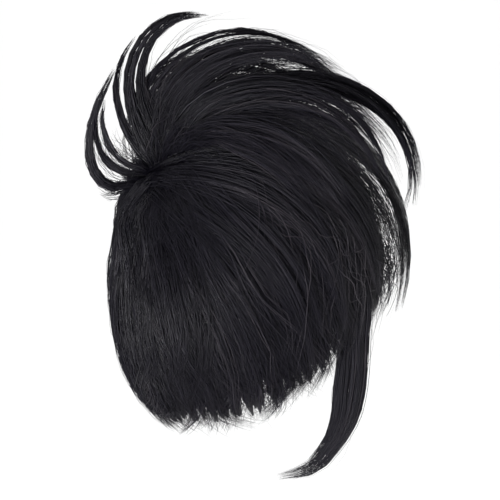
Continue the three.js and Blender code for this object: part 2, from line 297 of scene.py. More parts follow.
# Each tube has a cell of its own in the piece's map, longer than wide, with margins as shares of the cell.
CELL = Sizes(long=5, margin_across=0.08, margin_along=0.02)


class Hair:
    """Closed tapered tubes, gathered up as arrays and made into one mesh."""

    def __init__(self):
        self.points, self.corners, self.sizes = [], [], []
        self.tones, self.alongs, self.cells = [], [], []
        self.point_count = 0
        self.tube_count = 0

    def add(self, paths, outward, half_width, half_depth, tones, sides=SECTION_SIDES):
        """Tubes along paths (tube, point, xyz), each with its width across the way outward."""
        tubes, steps = paths.shape[:2]
        heading = unit(np.gradient(paths, axis=1))
        across = unit(np.cross(heading, np.broadcast_to(outward, paths.shape)))
        through = np.cross(heading, across)
        turn = np.arange(sides) * 2 * np.pi / sides
        wide = np.broadcast_to(half_width, (tubes, steps))[..., None, None] * np.cos(turn)[:, None]
        deep = np.broadcast_to(half_depth, (tubes, steps))[..., None, None] * np.sin(turn)[:, None]
        ring = paths[:, :, None] + across[:, :, None] * wide + through[:, :, None] * deep
        self.points.append(ring.reshape(-1, 3))
        place = self.point_count + np.arange(tubes * steps * sides).reshape(tubes, steps, sides)
        following = np.roll(place, -1, axis=2)
        quads = np.stack([place[:, :-1], following[:, :-1], following[:, 1:], place[:, 1:]], axis=-1)
        k = np.arange(sides)
        i = np.arange(steps - 1)[:, None]
        quad_across = np.broadcast_to(np.stack([k, k + 1, k + 1, k], axis=-1) / sides, quads.shape)
        quad_along = np.broadcast_to(np.stack([i, i, i + 1, i + 1], axis=-1) / (steps - 1), quads.shape)
        self._faces(quads, quad_across, quad_along, 4)
        for end, order in ((0, -1), (-1, 1)):
            cap = place[:, end, ::order]
            cap_across = np.broadcast_to(k / sides, cap.shape)
            self._faces(cap, cap_across, np.full(cap.shape, float(end != 0)), sides)
        self.tones.append(np.repeat(tones, steps * sides))
        self.alongs.append(np.tile(np.repeat(np.linspace(0, 1, steps), sides), tubes))
        self.point_count += tubes * steps * sides
        self.tube_count += tubes

    def _faces(self, corners, share_across, share_along, size):
        tubes = len(corners)
        self.corners.append(corners.ravel())
        self.sizes.append(np.full(corners.size // size, size))
        number = np.repeat(self.tube_count + np.arange(tubes), corners.size // tubes)
        self.cells.append(np.stack([number, share_across.ravel(), share_along.ravel()], axis=-1))

    def piece(self, name, material, slot, *nodes):
        """One mesh of all tubes, with tone and place along the strand as attributes and a map of cells."""
        points, corners = np.concatenate(self.points), np.concatenate(self.corners)
        sizes = np.concatenate(self.sizes)
        mesh = bpy.data.meshes.new(name)
        mesh.vertices.add(len(points))
        mesh.vertices.foreach_set("co", points.astype(np.float32).ravel())
        mesh.loops.add(len(corners))
        mesh.loops.foreach_set("vertex_index", corners.astype(np.int32))
        mesh.polygons.add(len(sizes))
        mesh.polygons.foreach_set("loop_start", (np.cumsum(sizes) - sizes).astype(np.int32))
        mesh.polygons.foreach_set("use_smooth", np.ones(len(sizes), bool))
        for label, values in (("tone", self.tones), ("along", self.alongs)):
            made = mesh.attributes.new(label, "FLOAT", "POINT")
            made.data.foreach_set("value", np.concatenate(values).astype(np.float32))
        number, share_across, share_along = np.concatenate(self.cells).T
        columns = math.ceil(math.sqrt(CELL.long * self.tube_count))
        rows = math.ceil(self.tube_count / columns)
        u = CELL.margin_across + (1 - 2 * CELL.margin_across) * share_across
        v = CELL.margin_along + (1 - 2 * CELL.margin_along) * share_along
        places = np.stack([(number % columns + u) / columns, (number // columns + v) / rows], axis=-1)
        layer = mesh.uv_layers.new(name="OFBake", do_init=False)
        layer.uv.foreach_set("vector", places.astype(np.float32).ravel())
        mesh.update(calc_edges=True)
        mesh.materials.append(material)
        made = add_object(name, mesh)
        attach(made, "root")
        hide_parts(*nodes)


# A strand is a little thinner at its root than half way along, and runs out to a fine tip. Sizes differ.
TAPER = Sizes(root=0.8, swell=0.2, tip=0.88, power=5, sizes=(0.8, 1.2))


def add_strands(hair, rng, paths, outward, tones, radius=STRAND):
    count, steps = paths.shape[:2]
    shares = np.linspace(0, 1, steps)
    thickness = radius * (TAPER.root + TAPER.swell * np.sin(np.pi * shares))
    thickness = thickness * (1 - TAPER.tip * shares ** TAPER.power)
    size = rng.uniform(*TAPER.sizes, (count, 1)) * thickness
    hair.add(paths, outward, size, size, tones)


def outward_of(paths):
    """Ways straight out of the head at points."""
    return unit(paths - HEAD_CENTRE)


# Near the root the combed hair is a hollow in a low ring. On the left of the back it lies flatter above and
# fuller below than the form. Each of these comes or goes between two angles from the root's axis.
ROOT_RING = Sizes(angle=17, spread=10, height=0.006, sunk=0.007, sunk_angles=(3, 11))
LEFT_BACK = Sizes(bearing=318, spread=40, flatter=0.002, flatter_angles=(10, 40), fuller=0.007,
                  fuller_angles=(55, 95))


def comb_stand(angle, bearing):
    """Height of the combed hair over its form."""
    ring = ROOT_RING.height * np.exp(-(((angle - ROOT_RING.angle) / ROOT_RING.spread) ** 2))
    hollow = ROOT_RING.sunk * (1 - smooth(angle, *ROOT_RING.sunk_angles))
    beside = ((bearing - LEFT_BACK.bearing + 180) % 360 - 180) / LEFT_BACK.spread
    fuller = LEFT_BACK.fuller * smooth(angle, *LEFT_BACK.fuller_angles)
    flatter = LEFT_BACK.flatter * smooth(angle, *LEFT_BACK.flatter_angles)
    return ring - hollow + (fuller - flatter) * np.exp(-(beside ** 2))


STRIP_ANGLES = (4, 46)  # angles from the root's axis between which strands leave the strip of roots
LEAST_ROUND = 0.1  # sine of the angle inside which a move aside turns no further round the root


def on_surface(angle, bearing, aside, strip, height):
    """Points over the hair's form, moved aside and, near the root, along the strip of roots, in metres."""
    radius = reach(HAIR, comb_direction(angle, bearing)) * np.maximum(np.sin(np.radians(angle)), LEAST_ROUND)
    direction = comb_direction(angle, bearing + np.degrees(aside / radius))
    along = strip * (1 - smooth(angle, *STRIP_ANGLES))
    direction = unit(direction * reach(HAIR, direction)[..., None] + ROOT_STRIP * along[..., None])
    return HEAD_CENTRE + direction * (reach(HAIR, direction) + height)[..., None]


# Hair at the sides sinks towards the nape by a bearing that grows along it, and the ends of strands turn.
COMB = Sizes(fall=21, fall_power=1.5, flick_from=0.75)


def comb_paths(steps, centre, start, end, tilt, flick, aside, strip, height):
    """Strands combed from the root towards the hem. Start and end are shares of the way."""
    shares = np.linspace(0, 1, steps)
    way = np.maximum(start[:, None] + (end - start)[:, None] * shares, 0)
    fall = COMB.fall * np.sin(np.radians(centre))
    bearing = centre[:, None] + (tilt - fall)[:, None] * way ** COMB.fall_power
    bearing = bearing + flick[:, None] * smooth(shares, COMB.flick_from, 1)
    hem = np.interp(bearing % 360, HEM_TURN, HEM_ANGLES)
    angle = COMB_START + (hem - COMB_START) * way
    return on_surface(angle, bearing, aside, strip[:, None], height + comb_stand(angle, bearing))


# Combed hair of one panel: broad dark bundles that close it, layers of overlapping clumps of strands, and
# flyaways. Starts, ends and spans are shares of the way to the hem. Tilt is how far a strand turns on its
# way, and flick how far its end does.
BUNDLE = Sizes(count=24, steps=12, sides=8, ends=(0.98, 1.04), sunk=0.0045, sunk_spread=0.0012, flick=-3,
               flick_spread=1.5, half_depth=0.0028, overlap=1.05, taper=0.8, taper_from=0.92, lightest=0.3)

# Start and width lie between two values; end, tilt, flick and lift are a value and its spread. Lift is
# height over the form, narrowing the share of its width that a clump loses towards its end, and loose the
# share of its strands that stray. The layer of few clumps lies on top.
COMB_LAYERS = table(
    "clumps strands steps start end tilt flick width lift narrowing loose",
    (24, 13, 12, (-0.06, -0.04), (1.03, 0.018), (0, 6), (-1, 4), (0.004, 0.009), (0, 0.0015), 0.50, 0.12),
    (14, 14, 10, (0.05, 0.55), (1.04, 0.022), (0, 10), (-2, 5), (0.003, 0.008), (0, 0.0015), 0.70, 0.24),
    (3, 24, 10, (0.06, 0.35), (0.93, 0.050), (0, 14), (-4, 8), (0.004, 0.009), (0.003, 0.001), 0.75, 0.10),
    (13, 18, 7, (0.62, 0.85), (1.045, 0.035), (-2, 7), (-7, 9), (0.003, 0.007), (0, 0.0018), 0.86, 0.06),
)
CLUMP = Sizes(depth=0.0034, waver=0.0025, strand_waver=0.0009, height_waver=0.0006, swell_power=0.8,
              narrows_from=0.55, sunk=0.0035, risen=0.25, turn=1.5, loose_turn=13, fray=0.05,
              strip_spread=0.004)
COMB_STRAYS = Sizes(count=30, steps=9, starts=(0.1, 0.8), spans=(0.2, 0.5), last_end=1.12,
                    rises=(0.001, 0.006), rise_power=1.3, sunk=0.0005, tilt_spread=14, waver=0.003)


def comb_bundles(hair, rng, low, high):
    count = BUNDLE.count
    centre = low + (high - low) * (np.arange(count) + 0.5) / count
    shares = np.linspace(0, 1, BUNDLE.steps)
    end = rng.uniform(*BUNDLE.ends, count)
    still = np.zeros(count)
    height = -BUNDLE.sunk - BUNDLE.sunk_spread * rng.random((count, 1))
    flick = rng.normal(BUNDLE.flick, BUNDLE.flick_spread, count)
    paths = comb_paths(BUNDLE.steps, centre, still, end, still, flick, np.zeros((count, 1)), still, height)
    beside = math.radians((high - low) / count)
    axis_distance = np.linalg.norm(np.cross(paths - HEAD_CENTRE, ROOT_AXIS), axis=-1)
    taper = 1 - BUNDLE.taper * smooth(shares, BUNDLE.taper_from, 1)
    half_width = BUNDLE.overlap * beside * axis_distance * taper
    tones = BUNDLE.lightest * rng.random(count)
    hair.add(paths, outward_of(paths), half_width, BUNDLE.half_depth * taper, tones, BUNDLE.sides)


def comb_layer(hair, rng, low, high, layer):
    """One layer of clumps. Those that start away from the root rise out of the hair."""
    clumps, steps = layer["clumps"], layer["steps"]
    own = np.repeat(np.arange(clumps), layer["strands"])
    count = len(own)
    shares = np.linspace(0, 1, steps)
    centre = low + (high - low) * (np.arange(clumps) + rng.random(clumps)) / clumps
    start = rng.uniform(*layer["start"], clumps)
    end, tilt, flick = (rng.normal(*layer[key], clumps) for key in ("end", "tilt", "flick"))
    width = rng.uniform(*layer["width"], clumps)
    lift = rng.normal(*layer["lift"], clumps)
    strip = rng.uniform(*STRIP_ENDS, clumps)
    spread = 0.5 + 0.5 * np.sin(np.pi * shares ** CLUMP.swell_power)
    spread = spread * (1 - layer["narrowing"] * smooth(shares, CLUMP.narrows_from, 1))
    aside = rng.uniform(-1, 1, (count, 1)) * width[own, None] * spread
    aside = aside + waves(rng, count, shares, CLUMP.strand_waver)
    aside = aside + waves(rng, clumps, shares, CLUMP.waver)[own]
    sunk = np.where(start[own] > 0, CLUMP.sunk, 0)[:, None] * (1 - smooth(shares, 0, CLUMP.risen))
    height = lift[own, None] - CLUMP.depth * rng.random((count, 1)) - sunk
    height = height + waves(rng, count, shares, CLUMP.height_waver)
    turn = np.where(rng.random(count) < layer["loose"], CLUMP.loose_turn, CLUMP.turn)
    tilts = tilt[own] + turn * rng.normal(size=count)
    ends = frayed(rng, end[own], CLUMP.fray)
    strips = strip[own] + CLUMP.strip_spread * rng.normal(size=count)
    paths = comb_paths(steps, centre[own], start[own], ends, tilts, flick[own], aside, strips, height)
    add_strands(hair, rng, paths, outward_of(paths), group_tones(rng, own))


def comb_strays(hair, rng, low, high):
    count, steps = COMB_STRAYS.count, COMB_STRAYS.steps
    shares = np.linspace(0, 1, steps)
    start = rng.uniform(*COMB_STRAYS.starts, count)
    end = np.minimum(start + rng.uniform(*COMB_STRAYS.spans, count), COMB_STRAYS.last_end)
    bow = np.sin(np.pi * shares ** COMB_STRAYS.rise_power)
    height = rng.uniform(*COMB_STRAYS.rises, (count, 1)) * bow - COMB_STRAYS.sunk
    centre = rng.uniform(low, high, count)
    tilt = rng.normal(0, COMB_STRAYS.tilt_spread, count)
    aside = waves(rng, count, shares, COMB_STRAYS.waver)
    still = np.zeros(count)
    paths = comb_paths(steps, centre, start, end, tilt, still, aside, still, height)
    add_strands(hair, rng, paths, outward_of(paths), rng.random(count), STRAY)


def hair_panel(hair, rng, low, high):
    comb_bundles(hair, rng, low, high)
    for layer in COMB_LAYERS:
        comb_layer(hair, rng, low, high, layer)
    comb_strays(hair, rng, low, high)


def column(row, key):
    """Values of a row as a column, one number or one for each strand."""
    return np.reshape(row[key], (-1, 1))


def fill_rows(rng, fill, first, others, keys, stray):
    """Each strand's rib, and rows by strand at shares of the way from a lock's row to another's."""
    second = next(row for row in others if row["name"] == fill["other"])
    own = rng.integers(0, fill["ribs"], fill["strands"])
    share = rng.uniform(fill["low"], fill["high"], fill["ribs"])[own] + stray * rng.normal(size=len(own))
    return own, {key: first[key] + (second[key] - first[key]) * share for key in keys}


def rows_of(rows, lock):
    """Rows of strands that belong to a lock's piece."""
    return [row for row in rows if row["lock"] == lock["name"]]


def fan_headings(row, shares):
    """Headings of free locks at shares of their length, by way of root, half and tip."""
    root, half, tip = (column(row, key) for key in ("root", "half", "tip"))
    bow = (4 * half - 2 * (root + tip)) * shares * (1 - shares)
    rise = np.radians(root + (tip - root) * shares + bow)[..., None]
    lean = np.radians(column(row, "lean"))[..., None]
    return np.cos(lean) * (np.cos(rise) * FAN_FRONT + np.sin(rise) * UP) + np.sin(lean) * FAN_OUT


STRIP_LENGTH = 0.07  # length of a free lock over which it leaves its place in the strip of roots


def fan_lines(row, ends, steps):
    """Centre lines of free locks up to each strand's end, and ways across and through them."""
    shares = ends[:, None] * np.linspace(0, 1, steps)
    middle = (shares[:, 1:] + shares[:, :-1]) / 2
    length = column(row, "length")
    moves = fan_headings(row, middle) * (length * np.diff(shares))[..., None]
    first = KNOT + fan_headings(row, shares[:, :1]) * STUMP.radius
    lines = np.concatenate([first, first + np.cumsum(moves, axis=1)], axis=1)
    away = column(row, "start") * (1 - smooth(length * shares, 0, STRIP_LENGTH))
    heading = fan_headings(row, shares)
    across = unit(np.cross(heading, FAN_OUT))
    return lines + ROOT_STRIP * away[..., None], across, np.cross(heading, across), shares


SWELL_POWER = 0.7  # below 1, so that a lock is widest before half way


def lock_spread(shares, root, full, tip):
    """Width or depth of a lock along its length: root, a swell before half way, and a narrow tip."""
    swell = np.sin(np.pi * np.clip(shares, 0, 1) ** SWELL_POWER)
    return root + (tip - root) * shares + (full - (root + tip) / 2) * swell


# Strands of a free lock lie in ribs, and some stop short of the tip. Widths and depths at the root are
# shares of the lock's own. Inside are a few twists of strands, and one more for each gap of its width.
FREE = Sizes(ribs=6, rib_edge=0.85, rib_stray=0.08, ends=(0.88, 1.02), fray=0.12, strand_turn=0.3,
             start_spread=0.25, root_width=0.8, root_depth=0.9, tip=0.0012, waver=0.0006, waver_turns=3,
             twists=4, twist_gap=0.0024, strays=18, stray_turn=2)
HEADING_TURNS = {"root": 0.5, "half": 0.5, "tip": 1.2, "lean": 0.8}  # shares of a turn, by heading
FAN_STEP = Sizes(length=0.016, fewest=11, most=18)

# Free strands begin in a small ball inside the root, at a share of their place along its strip.
BEGIN = Sizes(strip_share=0.4, sunk=0.009, ball=0.0015, width_share=0.4, largest_ball=0.007)
# Further out, from one share of their length to another, they come to rest on the combed hair or over it.
REST = Sizes(heights=(0.002, 0.009), sunk=0.03, shares=(0.1, 0.4))

# Fills lie in loose ribs, and the fan's frizz strays further.
FAN_FILL = Sizes(stray=0.02, turn=5, strand_turn=0.4, side=0.5)
FAN_LOOSE = Sizes(turn=6, waver=0.0022, least=0.45)
FAN_SHAPE = ("root", "half", "tip", "lean", "length", "width", "start")


def fan_steps(length):
    """Points along a strand of a given length."""
    return int(np.clip(round(length / FAN_STEP.length), FAN_STEP.fewest, FAN_STEP.most))


def rest_on_hair(rng, paths, shares):
    """Lifts the outer part of free strands that run into the combed hair until they lie on it."""
    out = paths - HEAD_CENTRE
    far = np.linalg.norm(out, axis=-1)
    direction = out / far[..., None]
    clear = rng.uniform(*REST.heights, (len(paths), 1)) - REST.sunk * (1 - smooth(shares, *REST.shares))
    return HEAD_CENTRE + direction * np.maximum(far, reach(HAIR, direction) + clear)[..., None]


def free_strands(hair, rng, rows, own, ends, sideways, radius=STRAND, waver=FREE.waver, least=0):
    """Strands of free locks. Rows are by strand, own is each one's rib and sideways its place across."""
    count = len(own)
    steps = fan_steps(float(np.max(rows["length"])))
    lines, across, through, shares = fan_lines(rows, ends, steps)
    width, depth = column(rows, "width"), column(rows, "depth")
    wide = lock_spread(shares, FREE.root_width * width, width, FREE.tip) / 2
    deep = lock_spread(shares, FREE.root_depth * depth, depth, FREE.tip) / 2
    inward = through_places(rng, sideways) * deep
    even = np.linspace(0, 1, steps)
    aside = sideways[:, None] * wide + waves(rng, count, even, waver, FREE.waver_turns)
    lines = lines + across * aside[..., None] + through * inward[..., None]
    lines = rest_on_hair(rng, lines, shares)
    ball = np.minimum(BEGIN.largest_ball, BEGIN.ball + BEGIN.width_share * width)
    begin = KNOT + ROOT_STRIP * BEGIN.strip_share * column(rows, "start") - BEGIN.sunk * ROOT_AXIS
    begin = begin + ball * in_ball(rng, count)
    paths = np.concatenate([begin[:, None], lines], axis=1)
    add_strands(hair, rng, paths, FAN_OUT, group_tones(rng, own, least), radius)


def lock_ribs(rng):
    """Ribs of one free lock: how far each strays from its heading, where it ends and its place across."""
    made = {key: near_zero(rng, FREE.ribs) for key in HEADING_TURNS}
    made["ends"] = rng.uniform(*FREE.ends, FREE.ribs)
    made["across"] = rib_places(rng, FREE.ribs, FREE.rib_edge, FREE.rib_stray)
    return made


def lock_strands(hair, rng, row, ribs, count, turn, radius=STRAND):
    """Strands in the ribs of one free lock, which differ in heading by about a turn."""
    own = rng.integers(0, FREE.ribs, count)
    rows = {}
    for key, factor in HEADING_TURNS.items():
        rows[key] = row[key] + factor * turn * (ribs[key][own] + FREE.strand_turn * near_zero(rng, count))
    for key in ("length", "width", "depth"):
        rows[key] = np.full(count, row[key])
    rows["start"] = row["start"] + FREE.start_spread * row["width"] * rng.normal(size=count)
    ends = frayed(rng, ribs["ends"][own], FREE.fray)
    sideways = ribs["across"][own] + row["rib"] * rng.normal(size=count)
    free_strands(hair, rng, rows, own, ends, sideways, radius)


def fill_strands(hair, rng, row, fill, turn=FAN_FILL.turn, waver=FREE.waver, radius=STRAND, least=0):
    """Strands that fill the fan between two locks, in loose ribs."""
    count, ribs = fill["strands"], fill["ribs"]
    own, rows = fill_rows(rng, fill, row, FREE_LOCKS + [LOWEST_LOCK], FAN_SHAPE, FAN_FILL.stray)
    for key, factor in HEADING_TURNS.items():
        strays = near_zero(rng, ribs)[own] + FAN_FILL.strand_turn * near_zero(rng, count)
        rows[key] = rows[key] + factor * turn * strays
    rows["depth"] = np.full(count, row["depth"])
    ends = frayed(rng, rng.uniform(fill["ends_from"], fill["ends_to"], ribs)[own], FREE.fray)
    sideways = rng.uniform(-FAN_FILL.side, FAN_FILL.side, count)
    free_strands(hair, rng, rows, own, ends, sideways, radius, waver, least)


def free_lock(hair, rng, row):
    ribs = lock_ribs(rng)
    twists = FREE.twists + round(row["width"] / FREE.twist_gap)
    lock_strands(hair, rng, row, ribs, twists, row["turn"], THICK)
    lock_strands(hair, rng, row, ribs, row["strands"], row["turn"])
    lock_strands(hair, rng, row, ribs, FREE.strays, FREE.stray_turn * row["turn"], STRAY)
    for fill in rows_of(FAN_FILLS, row):
        fill_strands(hair, rng, row, fill)
    for frizz in rows_of(FAN_FRIZZ, row):
        fill_strands(hair, rng, row, frizz, FAN_LOOSE.turn, FAN_LOOSE.waver, FINE, FAN_LOOSE.least)


# A draped lock spreads wider than its middle and thins out at its edges, which sink to the hair below.
# Widths and depths at the root are shares of the lock's own, and those at the tip are sizes.
DRAPE = Sizes(ribs=6, rib_edge=0.9, rib_stray=0.08, strand_stray=0.12, steps=15, start=3, ends=(0.85, 1.02),
              fray=0.14, spread=1.3, root_width=0.5, tip_width=0.004, root_depth=0.8, tip_depth=0.0015,
              fall_power=3, turn_power=1.5, edge_sag=0.3, height_waver=0.3, strip_spread=0.003, turn=3,
              strand_turn=0.3, waver=0.0008)
DRAPE_STRAYS = Sizes(count=24, turn=11, waver=0.003)
DRAPE_FILL = Sizes(stray=0.03, turn=4, strand_turn=2, fray=0.1, side=0.6, waver=0.001)
LOOSE = Sizes(size=0.004, waver_turns=4)
DRAPE_SHAPE = ("bearing", "fall", "end", "arch", "flare", "width", "depth")


def draped_strands(hair, rng, rows, own, ends, sideways, waver, radius=STRAND, most=WAVER.most, least=0):
    """Strands of draped locks. Rows are by strand, own is each one's rib and sideways its place across."""
    count = len(own)
    even = np.linspace(0, 1, DRAPE.steps)
    shares = ends[:, None] * even
    angle = column(rows, "from") + (column(rows, "end") - column(rows, "from")) * shares
    bearing = column(rows, "bearing") - column(rows, "fall") * shares ** DRAPE.fall_power
    bearing = bearing + column(rows, "turn") * shares ** DRAPE.turn_power
    width, depth = column(rows, "width"), column(rows, "depth")
    wide = DRAPE.spread * lock_spread(shares, DRAPE.root_width * width, width, DRAPE.tip_width) / 2
    aside = sideways[:, None] * wide + waves(rng, count, even, waver, most)
    deep = lock_spread(shares, DRAPE.root_depth * depth, depth, DRAPE.tip_depth) / 2
    inward = through_places(rng, sideways) * deep
    bow = np.sin(np.pi * shares)
    rise = DRAPE_CLEARANCE + column(rows, "arch") * bow + column(rows, "flare") * shares ** 2
    sag = (DRAPE_CLEARANCE + DRAPE.edge_sag * depth) * sideways[:, None] ** 2 * bow
    height = rise - sag + inward + waves(rng, count, even, DRAPE.height_waver * waver)
    paths = on_surface(angle, bearing, aside, column(rows, "strip"), height)
    add_strands(hair, rng, paths, outward_of(paths), group_tones(rng, own, least), radius)


def strip_places(rng, ribs, own):
    """Places along the strip of roots for strands, near those of their ribs."""
    return rng.uniform(*STRIP_ENDS, ribs)[own] + DRAPE.strip_spread * rng.normal(size=len(own))


def drape_ribs(hair, rng, row, count, turn, waver, radius=STRAND):
    """The ribs of one draped lock."""
    ribs = DRAPE.ribs
    own = rng.integers(0, ribs, count)
    rows = {key: np.full(count, row[key]) for key in DRAPE_SHAPE}
    rows["from"] = np.full(count, DRAPE.start)
    rows["turn"] = turn * (rng.normal(size=ribs)[own] + DRAPE.strand_turn * rng.normal(size=count))
    rows["strip"] = strip_places(rng, ribs, own)
    ends = frayed(rng, rng.uniform(*DRAPE.ends, ribs)[own], DRAPE.fray)
    sideways = rib_places(rng, ribs, DRAPE.rib_edge, DRAPE.rib_stray)[own]
    sideways = sideways + rng.normal(0, DRAPE.strand_stray, count)
    draped_strands(hair, rng, rows, own, ends, sideways, waver, radius)


def drape_fill(hair, rng, row, fill):
    """Strands that lie between two draped locks, in loose ribs."""
    count, ribs = fill["strands"], fill["ribs"]
    own, rows = fill_rows(rng, fill, row, DRAPED_LOCKS, DRAPE_SHAPE, DRAPE_FILL.stray)
    rows["from"] = np.full(count, DRAPE.start)
    rib_turn = DRAPE_FILL.turn * rng.normal(size=ribs)[own]
    rows["turn"] = rib_turn + DRAPE_FILL.strand_turn * rng.normal(size=count)
    rows["strip"] = strip_places(rng, ribs, own)
    ends = frayed(rng, rng.uniform(fill["ends_from"], fill["ends_to"], ribs)[own], DRAPE_FILL.fray)
    sideways = rng.uniform(-DRAPE_FILL.side, DRAPE_FILL.side, count)
    draped_strands(hair, rng, rows, own, ends, sideways, DRAPE_FILL.waver)


def frizz_strands(hair, rng, frizz):
    """Loose strands over the draped locks."""
    count = frizz["strands"]
    rows = {key: rng.uniform(*frizz[key], count) for key in ("bearing", "from", "span", "arch", "flare")}
    rows["end"] = rows["from"] + rows["span"]
    rows["turn"] = frizz["turn"] * rng.normal(size=count)
    for key, value in (("fall", 0), ("width", LOOSE.size), ("depth", LOOSE.size), ("strip", 0)):
        rows[key] = np.full(count, value)
    own = np.arange(count)
    sideways = rng.uniform(-1, 1, count)
    draped_strands(hair, rng, rows, own, np.ones(count), sideways, frizz["waver"], frizz["radius"],
                   LOOSE.waver_turns, frizz["least"])


def draped_lock(hair, rng, row):
    drape_ribs(hair, rng, row, row["strands"], DRAPE.turn, DRAPE.waver)
    drape_ribs(hair, rng, row, DRAPE_STRAYS.count, DRAPE_STRAYS.turn, DRAPE_STRAYS.waver, STRAY)
    for fill in rows_of(DRAPE_FILLS, row):
        drape_fill(hair, rng, row, fill)
    for frizz in rows_of(FRIZZ, row):
        frizz_strands(hair, rng, frizz)


def through_points(points, shares):
    """A smooth curve through points, evenly numbered from 0 to 1."""
    place = np.clip(shares, 0, 1) * (len(points) - 1)
    first = np.minimum(place.astype(int), len(points) - 2)
    t = (place - first)[..., None]
    padded = np.concatenate([[2 * points[0] - points[1]], points, [2 * points[-1] - points[-2]]])
    p0, p1, p2, p3 = (padded[first + step] for step in range(4))
    return 0.5 * (2 * p1 + (p2 - p0) * t + (2 * p0 - 5 * p1 + 4 * p2 - p3) * t ** 2
                  + (3 * p1 - p0 - 3 * p2 + p3) * t ** 3)


SIDE = Sizes(strands=420, waver=0.0006, strays=24, stray_waver=0.004, steps=17, ribs=9, rib_edge=0.9,
             rib_stray=0.06, strand_stray=0.09, ends=(0.86, 1.02), fray=0.14)


def side_strands(hair, rng, count, waver, radius=STRAND):
    right, front, height, width, depth = SIDE_LOCK.T
    centres = HEAD_CENTRE + np.stack([-right, -front, height], axis=-1)
    facing = math.radians(SIDE_FACING)
    outwards = np.array([-math.sin(facing), math.cos(facing), 0.0])
    own = rng.integers(0, SIDE.ribs, count)
    rib_at = rib_places(rng, SIDE.ribs, SIDE.rib_edge, SIDE.rib_stray)
    ends = frayed(rng, rng.uniform(*SIDE.ends, SIDE.ribs)[own], SIDE.fray)
    even = np.linspace(0, 1, SIDE.steps)
    shares = ends[:, None] * even
    lines = through_points(centres, shares)
    heading = unit(np.gradient(lines, axis=1))
    across = unit(np.cross(heading, outwards))
    through = np.cross(heading, across)
    sizes = through_points(np.stack([width, depth], axis=-1), shares) / 2
    sideways = rib_at[own] + rng.normal(0, SIDE.strand_stray, count)
    inward = through_places(rng, sideways) * sizes[..., 1]
    aside = sideways[:, None] * sizes[..., 0] + waves(rng, count, even, waver)
    paths = lines + across * aside[..., None] + through * inward[..., None]
    add_strands(hair, rng, paths, outwards, group_tones(rng, own), radius)


def side_lock(hair, rng):
    side_strands(hair, rng, SIDE.strands, SIDE.waver)
    side_strands(hair, rng, SIDE.strays, SIDE.stray_waver, STRAY)


# Root of the tuft: a dark body sunk in the hair, rounded between two shares of its height, and short
# strands that run into the fan. Each turns by a share of bend to half way, and by another to its tip.
ROOT_BODY = Sizes(steps=8, sides=14, sunk=0.002, round_shares=(0.4, 1.05), least_square=0.02, tone=0.1)
ROOT_HAIR = Sizes(bends=(0.3, 0.6), size=0.006, ends=(0.8, 1.0))
ROOT_STRANDS = table(
    "strands root bend lean length start",
    (230, (30, 112), 75, (-25, 45), (0.025, 0.058), (-0.004, 0.026)),
    (90, (112, 215), 40, (-25, 35), (0.002, 0.008), (-0.016, 0)),
    (40, (196, 222), 60, (0, 20), (0.012, 0.026), (-0.022, -0.010)),
)


def root_strands(hair, rng, group):
    count = group["strands"]
    root = rng.uniform(*group["root"], count)
    half = root - group["bend"] * rng.uniform(*ROOT_HAIR.bends, count)
    tip = half - group["bend"] * rng.uniform(*ROOT_HAIR.bends, count)
    rows = {"root": root, "half": half, "tip": tip}
    for key in ("lean", "length", "start"):
        rows[key] = rng.uniform(*group[key], count)
    for key in ("width", "depth"):
        rows[key] = np.full(count, ROOT_HAIR.size)
    ends = rng.uniform(*ROOT_HAIR.ends, count)
    free_strands(hair, rng, rows, np.arange(count), ends, rng.uniform(-1, 1, count))


def tuft_root(hair, rng):
    inside, outside = reach(HEAD, ROOT_AXIS), reach(HAIR, ROOT_AXIS) - ROOT_BODY.sunk
    shares = np.linspace(0, 1, ROOT_BODY.steps)
    line = HEAD_CENTRE + ROOT_AXIS * (inside + (outside - inside) * shares)[:, None]
    rounded = 1 - smooth(shares, *ROOT_BODY.round_shares) ** 2
    radius = STUMP.radius * np.sqrt(np.clip(rounded, ROOT_BODY.least_square, 1))
    hair.add(line[None], TO_RIGHT, radius, radius, np.array([ROOT_BODY.tone]), ROOT_BODY.sides)
    for group in ROOT_STRANDS:
        root_strands(hair, rng, group)


# Cap: a net dome under the hair, with sewn rows that stand in and a thicker band along its rim. The rim's
# height is by bearing, from the nape to the brow, and is rounded over columns to each side.
CAP = Sizes(columns=96, rows=72, wall=0.0012, row_gap=0.010, row_stand=0.0012, band=0.010, band_edge=0.002,
            band_wall=0.0006, least_angle=30.0, most_angle=160.0, rounding=5)
RIM_BEARINGS = (0, 60, 90, 118, 150, 180)
RIM_HEIGHTS = (-0.088, -0.072, -0.028, -0.034, 0.018, 0.042)


def cap_sheets():
    """Points of the cap's outer and inner sheets, by column round the head and row from the crown down."""
    turn = np.arange(CAP.columns) * 2 * np.pi / CAP.columns
    level = np.stack([-np.sin(turn), np.cos(turn), 0 * turn], axis=-1)[:, None]

    def direction_at(angle):
        a = np.radians(angle)[..., None]
        return np.sin(a) * level + np.cos(a) * UP

    rim = edge_angles(HEAD, direction_at, RIM_BEARINGS, RIM_HEIGHTS, CAP.least_angle, CAP.most_angle)
    beside = range(-CAP.rounding, CAP.rounding + 1)
    rim = np.mean([np.roll(rim, step, axis=0) for step in beside], axis=0)
    angle = rim * np.arange(1, CAP.rows + 1) / CAP.rows
    direction = direction_at(angle)
    inside = reach(HEAD, direction)
    sewn = 0.5 + 0.5 * np.cos(2 * np.pi * np.radians(angle) * inside / CAP.row_gap)
    band = smooth(np.radians(angle - rim) * inside, -CAP.band, CAP.band_edge - CAP.band)
    inner = inside - CAP.row_stand * sewn * (1 - band)
    outer = inside + CAP.wall + CAP.band_wall * band
    return [HEAD_CENTRE + direction * far[..., None] for far in (outer, inner)]


